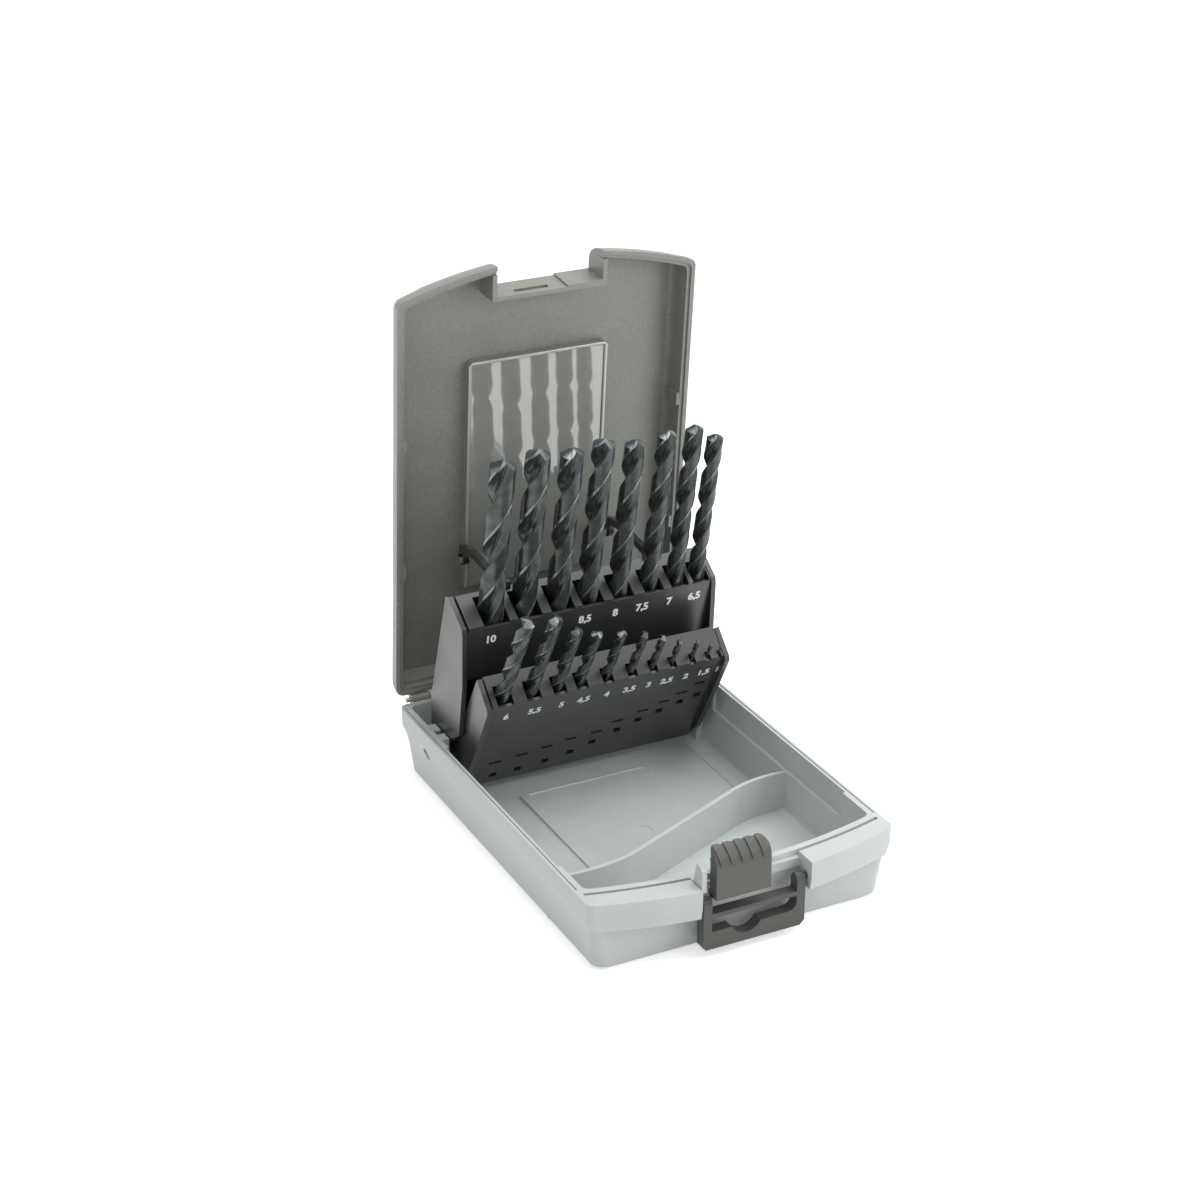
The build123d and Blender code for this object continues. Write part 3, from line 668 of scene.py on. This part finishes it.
@dataclass
class Bead:
    """A slim bead with rounded edges, moulded on a flat face.

    The face lies at base_mm, and proud_mm is negative where the bead hangs under it.
    """

    name: str
    body: str
    slot: str
    finish: Finish
    base_mm: float
    proud_mm: float
    rounding_mm: float = 0.26
    sharp_deg: float = 50.0

    def outline(self) -> list[tuple[float, float]]:
        """Return the bead's corners seen from above, in millimetres. Each bead gives its own."""
        return []

    def place(self) -> Matrix:
        """Return the turn from where the bead is modelled to where it stands."""
        return Matrix.Identity(4)

    def build(self) -> bpy.types.Object:
        """Build the bead in its place.

        Returns:
            The new piece.
        """
        mesh = bmesh.new()
        corners = [Vector((x, y, self.base_mm)) * MM for x, y in self.outline()]
        face = mesh.faces.new([mesh.verts.new(corner) for corner in corners])
        raised = bmesh.ops.extrude_face_region(mesh, geom=[face])["geom"]
        points = [item for item in raised if isinstance(item, bmesh.types.BMVert)]
        bmesh.ops.translate(mesh, verts=points, vec=(0.0, 0.0, self.proud_mm * MM))
        rim = [edge for edge in mesh.edges if all(vert in points for vert in edge.verts)]
        round_edges(mesh, rim, self.rounding_mm, segments=3)
        bmesh.ops.recalc_face_normals(mesh, faces=mesh.faces)
        bmesh.ops.transform(mesh, matrix=self.place(), verts=mesh.verts)
        piece = to_object(self.name, mesh, [self.finish], self.sharp_deg)
        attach(piece, self.body)
        return piece


@dataclass
class PanelLip(Bead):
    """The polished lip on the raised frame round the panel, open towards the hinge."""

    outer_mm: float = 28.5
    inner_mm: float = 27.3
    front_mm: float = -50.4
    rear_mm: float = 43.4
    corner_mm: float = 1.2

    def outline(self) -> list[tuple[float, float]]:
        """Lay out the lip on the closed lid.

        Returns:
            Its corners seen from above, in millimetres.
        """
        band = self.outer_mm - self.inner_mm
        right = [
            (self.outer_mm - self.corner_mm, self.front_mm),
            (self.outer_mm, self.front_mm + self.corner_mm),
            (self.outer_mm, self.rear_mm),
            (self.inner_mm, self.rear_mm),
            (self.inner_mm, self.front_mm + band),
        ]
        return right + [(-x, y) for x, y in reversed(right)]

    def place(self) -> Matrix:
        """Return the turn that opens the lid."""
        return lid_closing().inverted()


@dataclass
class FloorBead(Bead):
    """The bead along the rear of the tray's raised floor panel, with a short return."""

    left_mm: float = -26.0
    right_mm: float = 24.8
    rear_mm: float = 38.0
    front_mm: float = 33.0
    width_mm: float = 0.8
    corner_mm: float = 1.8

    def outline(self) -> list[tuple[float, float]]:
        """Lay out the bead on the floor panel.

        Returns:
            Its corners seen from above, in millimetres.
        """
        inner_x = self.right_mm - self.width_mm
        inner_y = self.rear_mm - self.width_mm
        outer_corner = self.corner_mm + self.width_mm / 2
        return [
            (self.left_mm, self.rear_mm),
            (self.left_mm, inner_y),
            (inner_x - self.corner_mm, inner_y),
            (inner_x, inner_y - self.corner_mm),
            (inner_x, self.front_mm),
            (self.right_mm, self.front_mm),
            (self.right_mm, self.rear_mm - outer_corner),
            (self.right_mm - outer_corner, self.rear_mm),
        ]


@dataclass
class PlainPart:
    """A CAD node that keeps its shape and gets a finish."""

    node: str
    finish: Finish

    def build(self) -> bpy.types.Object:
        """Dress the node.

        Returns:
            The node's own object.
        """
        piece = frame["nodes"][self.node]
        piece.data.materials.clear()
        piece.data.materials.append(self.finish.material())
        for polygon in piece.data.polygons:
            polygon.use_smooth = False
        return piece


# ---------------------------------------------------------------- twist drills
class DrillSeries:
    """Standard jobber drill proportions."""

    HELIX_DEG = 30.0
    # Height of the point's cone per radius, and how far its flanks fall away behind the lips
    POINT_SLOPE = 0.6
    RELIEF = 0.16
    # Angle of the lip in the half section, and the width in front of it that isn't relieved
    LIP_DEG = 92.0
    LIP_WIDTH_DEG = 1.0
    # Shares of the radius
    WEB = 0.32
    LAND = 0.955
    MARGIN_FROM = 0.99
    CHISEL_DROP = 0.05
    SHANK_END = 0.94
    # Shares of the diameter
    SHANK_CHAMFER = 0.04
    RUNOUT = 0.8
    # Diameter: flute length and whole length, in millimetres
    LENGTHS_MM = {
        1.0: (12, 34), 1.5: (18, 40), 2.0: (24, 49), 2.5: (30, 57), 3.0: (33, 61), 3.5: (39, 70),
        4.0: (43, 75), 4.5: (47, 80), 5.0: (52, 86), 5.5: (57, 93), 6.0: (57, 93), 6.5: (63, 101),
        7.0: (69, 109), 7.5: (69, 109), 8.0: (75, 117), 8.5: (75, 117), 9.0: (81, 125),
        9.5: (81, 125), 10.0: (87, 133),
    }
    # Half of the cross-section, in degrees and shares of the radius: land, margin, then the flute
    HALF_SECTION = [
        (2.0, LAND), (22.0, LAND), (42.0, LAND), (62.0, LAND), (79.0, LAND),
        (80.5, 1.0), (86.0, 1.0), (92.0, 1.0),
        (97.0, 0.85), (104.0, 0.66), (112.0, 0.52), (119.0, 0.48), (125.0, 0.37), (136.0, WEB),
        (147.0, 0.35), (154.0, 0.46), (162.0, 0.50), (169.0, 0.67), (175.0, 0.82), (178.5, 0.91),
    ]


@dataclass
class TwistDrill:
    """A right-hand twist drill: plain shank, run-out, two helical flutes and a ground point."""

    diameter: float
    turn_deg: float
    point: Finish
    step_deg: float = 10.0
    runout_steps: int = 6
    sharp_deg: float = 32.0

    # Material indices of the faces that don't have the body's finish
    POINT_FACES = 1
    MARGIN_FACES = 2

    @property
    def node(self) -> str:
        """Name of the drill's CAD node."""
        return "drill_" + f"{self.diameter:.1f}".replace(".", "_")

    @property
    def radius(self) -> float:
        """Half of the diameter, in millimetres."""
        return self.diameter / 2

    @property
    def lead(self) -> float:
        """Rise of the flutes in one turn, in millimetres."""
        return math.pi * self.diameter / math.tan(math.radians(DrillSeries.HELIX_DEG))

    def section(self) -> list[tuple[float, float]]:
        """Lay out the whole cross-section.

        Returns:
            Its points, as angles in radians and radii in millimetres.
        """
        points = []
        for half_turn in (0.0, 180.0):
            points += [(math.radians(angle + half_turn), share * self.radius)
                       for angle, share in DrillSeries.HALF_SECTION]
        return points

    def ring(self, mesh: bmesh.types.BMesh, edges: list[bmesh.types.BMEdge], height: float,
             depth: float) -> list[bmesh.types.BMEdge]:
        """Extrude the open ring of edges and set its new points on the section.

        Args:
            mesh: the bmesh that grows.
            edges: the ring's edges, in the section's order.
            height: the new ring's height above the shank's end, in millimetres.
            depth: flute depth, from 0 on the shank to 1.

        Returns:
            The new ring's edges.
        """
        grown = bmesh.ops.extrude_edge_only(mesh, edges=edges)["geom"]
        points = [item for item in grown if isinstance(item, bmesh.types.BMVert)]
        self.settle(points, height, depth)
        return [item for item in grown if isinstance(item, bmesh.types.BMEdge)
                and all(corner in points for corner in item.verts)]

    def settle(self, points: list[bmesh.types.BMVert], height: float, depth: float) -> None:
        """Move a ring's points to their places on the section at a height.

        Args:
            points: the ring's points, in the section's order.
            height: height above the shank's end, in millimetres.
            depth: flute depth, from 0 to 1.
        """
        turn = 2 * math.pi * height / self.lead + math.radians(self.turn_deg)
        for point, (angle, reach) in zip(points, self.section()):
            radius = self.radius + (reach - self.radius) * depth
            point.co = Vector((radius * math.cos(angle + turn), radius * math.sin(angle + turn),
                               height)) * MM

    def make_mesh(self) -> bmesh.types.BMesh:
        """Shape the drill, standing on the origin along +Z.

        Returns:
            The new bmesh.
        """
        flute, length = DrillSeries.LENGTHS_MM[self.diameter]
        foot = length - flute
        runout = self.diameter * DrillSeries.RUNOUT
        shoulder = length - DrillSeries.POINT_SLOPE * self.radius
        mesh = bmesh.new()
        start = bmesh.ops.create_circle(mesh, cap_ends=True, segments=len(self.section()),
                                        radius=self.radius * MM)["verts"]
        self.settle(start, 0.0, 0.0)
        bmesh.ops.scale(mesh, vec=(DrillSeries.SHANK_END, DrillSeries.SHANK_END, 1.0), verts=start)
        edges = self.ring(mesh, list(mesh.edges), DrillSeries.SHANK_CHAMFER * self.diameter, 0.0)
        edges = self.ring(mesh, edges, foot - runout, 0.0)
        for step in range(1, self.runout_steps + 1):
            share = step / self.runout_steps
            depth = math.sin(share * math.pi / 2)
            edges = self.ring(mesh, edges, foot - runout * (1 - share), depth)
        steps = math.ceil((shoulder - foot) / self.lead * 360.0 / self.step_deg)
        for step in range(1, steps + 1):
            edges = self.ring(mesh, edges, foot + (shoulder - foot) * step / steps, 1.0)
        self.mark_margins(mesh, foot)
        self.grind_point(mesh, edges, length, shoulder)
        return mesh

    def mark_margins(self, mesh: bmesh.types.BMesh, foot: float) -> None:
        """Give the margins their own material index.

        Args:
            mesh: the bmesh of the drill.
            foot: height at which the full flutes start, in millimetres.
        """
        for face in mesh.faces:
            lowest = min(vert.co.z for vert in face.verts) / MM
            reach = min(vert.co.xy.length for vert in face.verts) / MM
            if lowest >= foot and reach > DrillSeries.MARGIN_FROM * self.radius:
                face.material_index = self.MARGIN_FACES

    def grind_point(self, mesh: bmesh.types.BMesh, edges: list[bmesh.types.BMEdge], length: float,
                    shoulder: float) -> None:
        """Close the top with the two relieved flanks of the point.

        Args:
            mesh: the bmesh that grows.
            edges: the top ring's edges.
            length: the drill's whole length, in millimetres.
            shoulder: height of the top ring, in millimetres.
        """
        edges = self.ring(mesh, edges, shoulder, 1.0)
        ring = list(dict.fromkeys(vert for edge in edges for vert in edge.verts))
        turn = 2 * math.pi * shoulder / self.lead + math.radians(self.turn_deg)
        for vert in ring:
            angle = math.degrees(math.atan2(vert.co.y, vert.co.x) - turn)
            ahead = (angle - DrillSeries.LIP_DEG) % 180.0
            relief = 0.0
            if ahead > DrillSeries.LIP_WIDTH_DEG:
                relief = DrillSeries.RELIEF * (1.0 - ahead / 180.0)
            top = length - (DrillSeries.POINT_SLOPE + relief) * vert.co.xy.length / MM
            spin = 2 * math.pi * (top - shoulder) / self.lead
            vert.co = Matrix.Rotation(spin, 3, "Z") @ vert.co
            vert.co.z = top * MM
        cap = bmesh.ops.contextual_create(mesh, geom=edges)["faces"]
        flanks = bmesh.ops.poke(mesh, faces=cap)
        for vert in flanks["verts"]:
            vert.co = Vector((0.0, 0.0, length - DrillSeries.CHISEL_DROP * self.radius)) * MM
        for face in flanks["faces"]:
            face.material_index = self.POINT_FACES

    def place(self) -> Matrix:
        """Find the drill's socket from the box of its node.

        Returns:
            The matrix that stands the drill in it.
        """
        low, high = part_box(self.node)
        up, forward = rack_axes(f"{self.node}_slide")
        length = DrillSeries.LENGTHS_MM[self.diameter][1]
        reach = self.radius * MM * (up.z + DrillSeries.POINT_SLOPE * up.y)
        tip = Vector(((low.x + high.x) / 2, low.y + reach, high.z))
        turn = Matrix((Vector((1.0, 0.0, 0.0)), -forward, up)).transposed().to_4x4()
        return Matrix.Translation(tip - up * length * MM) @ turn

    def build(self) -> bpy.types.Object:
        """Build the drill in its place.

        Returns:
            The new piece.
        """
        mesh = self.make_mesh()
        bmesh.ops.transform(mesh, matrix=self.place(), verts=mesh.verts)
        bmesh.ops.recalc_face_normals(mesh, faces=mesh.faces)
        finishes = [Finish.DRILL, self.point, Finish.MARGIN]
        piece = to_object(f"twist_{self.node}", mesh, finishes, self.sharp_deg)
        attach(piece, self.node)
        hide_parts(self.node)
        return piece


# ---------------------------------------------------------------- racks
@dataclass(frozen=True)
class RackFace:
    """A rack's front face, in millimetres.

    It lies depth in front of the rack's top, which is at top_y and top_z, and the sizes are printed
    on it print_below that top. The slide is one of the rack's drills' joints.
    """

    rack: str
    slide: str
    top_y: float
    top_z: float
    depth: float
    print_below: float


@dataclass
class PrintedSize:
    """A drill size printed on a rack's front face."""

    text: str
    x: float
    face: RackFace
    height_mm: float = 3.15
    capital_share: float = 0.72
    stroke_share: float = 0.055
    film_mm: float = 0.03

    def flat(self) -> bpy.types.Mesh:
        """Write the size round the origin.

        Returns:
            Its flat mesh.
        """
        curve = bpy.data.curves.new(f"size_text_{self.text}", "FONT")
        curve.body = self.text
        curve.size = self.height_mm * MM / self.capital_share
        curve.offset = self.stroke_share * self.height_mm * MM
        curve.align_x = "CENTER"
        curve.align_y = "CENTER"
        curve.resolution_u = 3
        writing = new_object(curve.name, curve)
        bpy.context.view_layer.update()
        data = bpy.data.meshes.new_from_object(writing)
        bpy.data.objects.remove(writing)
        return data

    def place(self) -> Matrix:
        """Find the size's place on the rack's face.

        Returns:
            The matrix that lays the size there.
        """
        up, forward = rack_axes(self.face.slide)
        top = Vector((self.x, self.face.top_y, self.face.top_z))
        out = forward * (self.face.depth + self.film_mm)
        turn = Matrix((Vector((1.0, 0.0, 0.0)), up, forward)).transposed().to_4x4()
        return Matrix.Translation((top + out - up * self.face.print_below) * MM) @ turn

    def build(self) -> bpy.types.Object:
        """Print the size on the rack.

        Returns:
            The new piece.
        """
        data = self.flat()
        data.transform(self.place())
        data.materials.clear()
        data.materials.append(Finish.INK.material())
        piece = new_object(f"size_{self.face.rack}_" + self.text.replace(",", "_"), data)
        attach(piece, self.face.rack)
        return piece


# Diameter: the drill's turn in its socket, in degrees, and the x of its printed size
REAR_DRILLS = {
    10.0: (-14.0, -40.7), 9.5: (-24.0, -27.9), 9.0: (-34.0, -14.9), 8.5: (-71.0, -2.1),
    8.0: (87.0, 10.5), 7.5: (-80.0, 21.8), 7.0: (45.0, 33.3), 6.5: (29.0, 44.1),
}
FRONT_DRILLS = {
    6.0: (-68.0, -40.7), 5.5: (-35.0, -29.1), 5.0: (-49.0, -18.1), 4.5: (30.0, -9.0),
    4.0: (5.0, 0.6), 3.5: (-29.0, 10.1), 3.0: (-48.0, 18.2), 2.5: (8.0, 25.9),
    2.0: (40.0, 34.1), 1.5: (60.0, 41.7), 1.0: (42.0, 47.6),
}
# Diameters of the drills whose points are ground bright
BRIGHT_POINTS = (9.0, 7.5, 6.0, 5.5, 4.5, 4.0, 3.0)


@dataclass
class DrillRack:
    """One rack: its moulding, its drills and their printed sizes."""

    face: RackFace
    drills: dict[float, tuple[float, float]]
    edge_mm: float = 0.2

    def build(self) -> list[bpy.types.Object]:
        """Build the rack's pieces.

        Returns:
            The moulding, then the drills, then the sizes.
        """
        rack = self.face.rack
        pieces = [MouldedPart(rack, rack, "rack_plastic", Finish.RACK, self.edge_mm).build()]
        for diameter, (turn, _) in self.drills.items():
            point = Finish.POINT if diameter in BRIGHT_POINTS else Finish.POINT_DARK
            pieces.append(TwistDrill(diameter, turn, point).build())
        for diameter, (_, x) in self.drills.items():
            text = f"{diameter:g}".replace(".", ",")
            pieces.append(PrintedSize(text, x, self.face).build())
        return pieces


# ---------------------------------------------------------------- other assemblies
@dataclass
class Casing:
    """The tray, the lid with its panel, and the hinge pins."""

    edge_mm: float = 0.25
    panel_edge_mm: float = 0.15

    def build(self) -> list[bpy.types.Object]:
        """Build the casing's pieces.

        Returns:
            The pieces.
        """
        return [
            MouldedPart("tray", "tray", "tray_plastic", Finish.TRAY, self.edge_mm).build(),
            LidShell("lid", "lid", "lid_plastic", Finish.LID, self.edge_mm).build(),
            MouldedPart("lid_panel", "lid", "panel_plastic", Finish.PANEL,
                        self.panel_edge_mm).build(),
            PanelLip("panel_lip", "lid", "panel_plastic", Finish.LIP, base_mm=36.0,
                     proud_mm=-0.3).build(),
            FloorBead("floor_bead", "tray", "tray_plastic", Finish.TRAY, base_mm=2.3,
                      proud_mm=0.5).build(),
            PlainPart("hinge_pins", Finish.PIN).build(),
        ]


@dataclass
class LiftLinks:
    """The two links that join the lid to the rear rack."""

    edge_mm: float = 0.2

    def build(self) -> list[bpy.types.Object]:
        """Build both links.

        Returns:
            The left and the right link.
        """
        return [MouldedPart(link, link, "link_plastic", Finish.LINK, self.edge_mm).build()
                for link in ("lift_link_left", "lift_link_right")]


@dataclass
class LatchAndHandle:
    """The latch flap on its pin and the carry handle."""

    flap_edge_mm: float = 0.25
    handle_edge_mm: float = 0.4

    def build(self) -> list[bpy.types.Object]:
        """Build the pieces.

        Returns:
            The flap, the handle and the pin.
        """
        return [
            MouldedPart("latch_flap", "latch_flap", "latch_plastic", Finish.LATCH,
                        self.flap_edge_mm).build(),
            MouldedPart("carry_handle", "carry_handle", "handle_plastic", Finish.HANDLE,
                        self.handle_edge_mm).build(),
            PlainPart("latch_pin", Finish.PIN).build(),
        ]


# ---------------------------------------------------------------- studio
@dataclass(frozen=True)
class SoftLamp:
    """A square soft lamp, placed in metres. Glossy surfaces show it where it is mirrored."""

    name: str
    place: Place
    target: Place
    size: float
    power_w: float
    mirrored: bool

    def build(self) -> None:
        """Hang the lamp out of the camera's sight, pointed at its target."""
        data = bpy.data.lights.new(self.name, "AREA")
        data.shape = "SQUARE"
        data.size = self.size
        data.energy = self.power_w
        lamp = new_object(self.name, data)
        lamp.location = self.place
        lamp.rotation_mode = "QUATERNION"
        aim = Vector(self.target) - Vector(self.place)
        lamp.rotation_quaternion = aim.to_track_quat("-Z", "Y")
        lamp.visible_camera = False
        lamp.visible_glossy = self.mirrored


LAMPS = (
    SoftLamp("overhead", (0.28, 0.02, 1.3), (0.0, 0.0, 0.06), size=1.2, power_w=10.5,
             mirrored=True),
    SoftLamp("right_side", (0.30, -0.17, 0.27), (0.05, 0.09, 0.17), size=0.2, power_w=0.30,
             mirrored=False),
    SoftLamp("front_right", (0.52, -0.55, 0.40), (0.05, 0.08, 0.14), size=0.45, power_w=1.5,
             mirrored=True),
)


@dataclass
class Studio:
    """Floor, background, lamps and camera. Places are in metres."""

    camera_at: Place = (-0.3865, -0.7330, 0.4807)
    azimuth_deg: float = -26.89
    elevation_deg: float = 25.01
    roll_deg: float = 0.17
    lens_mm: float = 76.95
    sensor_mm: float = 36.0
    clip: tuple[float, float] = (0.01, 20.0)
    floor_size: float = 3.0
    floor_grey: float = 0.80
    floor_glow: float = 0.52
    fill_strength: float = 0.70
    white_strength: float = 1.0

    def floor(self) -> None:
        """Lay a pale floor that shows as the white background and keeps the shadow."""
        mesh = bmesh.new()
        bmesh.ops.create_grid(mesh, x_segments=1, y_segments=1, size=self.floor_size)
        data = bpy.data.meshes.new("floor")
        mesh.to_mesh(data)
        mesh.free()
        floor = new_object("floor", data)
        graph = Graph(bpy.data.materials.new("pale_floor"))
        diffuse = graph.add("ShaderNodeBsdfDiffuse")
        diffuse.inputs["Color"].default_value = (*(self.floor_grey,) * 3, 1.0)
        level = graph.add("ShaderNodeMath", operation="MULTIPLY")
        graph.link(graph.backdrop_ray(), level.inputs[0])
        level.inputs[1].default_value = self.floor_glow
        glow = graph.add("ShaderNodeEmission")
        graph.link(level.outputs[0], glow.inputs["Strength"])
        total = graph.add("ShaderNodeAddShader")
        graph.link(diffuse.outputs[0], total.inputs[0])
        graph.link(glow.outputs[0], total.inputs[1])
        graph.link(total.outputs[0], graph.output.inputs["Surface"])
        data.materials.append(graph.owner)

    def background(self) -> None:
        """Show white behind the object, and light it with a softer grey."""
        world = bpy.data.worlds.new("studio")
        bpy.context.scene.world = world
        graph = Graph(world, "ShaderNodeOutputWorld")
        mix = graph.add("ShaderNodeMixShader")
        graph.link(graph.backdrop_ray(), mix.inputs[0])
        for socket, strength in ((1, self.fill_strength), (2, self.white_strength)):
            light = graph.add("ShaderNodeBackground")
            light.inputs["Color"].default_value = (1.0, 1.0, 1.0, 1.0)
            light.inputs["Strength"].default_value = strength
            graph.link(light.outputs[0], mix.inputs[socket])
        graph.link(mix.outputs[0], graph.output.inputs["Surface"])

    def camera(self) -> None:
        """Set the camera at the photograph's viewing angle."""
        azimuth = math.radians(self.azimuth_deg)
        elevation = math.radians(self.elevation_deg)
        level = math.cos(elevation)
        back = Vector((math.sin(azimuth) * level, -math.cos(azimuth) * level, math.sin(elevation)))
        data = bpy.data.cameras.new("camera")
        data.lens = self.lens_mm
        data.sensor_width = self.sensor_mm
        data.clip_start, data.clip_end = self.clip
        camera = new_object("camera", data)
        camera.location = self.camera_at
        camera.rotation_mode = "QUATERNION"
        turn = (-back).to_track_quat("-Z", "Y").to_matrix()
        roll = Matrix.Rotation(math.radians(self.roll_deg), 3, "Z")
        camera.rotation_quaternion = (turn @ roll).to_quaternion()
        bpy.context.scene.camera = camera

    def build(self) -> None:
        """Set up the whole studio."""
        bpy.context.scene.view_settings.view_transform = "Standard"
        self.floor()
        self.background()
        for lamp in LAMPS:
            lamp.build()
        self.camera()


def main() -> None:
    """Build every assembly in order and report its pieces."""
    logging.basicConfig(level=logging.INFO, format="%(message)s")
    rear_face = RackFace("rear_rack", "drill_10_0_slide", top_y=49.2, top_z=80.9, depth=13.7,
                         print_below=7.0)
    front_face = RackFace("front_rack", "drill_6_0_slide", top_y=30.4, top_z=58.5, depth=11.7,
                          print_below=8.8)
    assemblies = [
        Casing(),
        DrillRack(rear_face, REAR_DRILLS),
        DrillRack(front_face, FRONT_DRILLS),
        LiftLinks(),
        LatchAndHandle(),
    ]
    for assembly in assemblies:
        for piece in assembly.build():
            log.info("%s: %s, %d faces", type(assembly).__name__, piece.name,
                     len(piece.data.polygons))
    Studio().build()


if __name__ == "__main__":
    main()
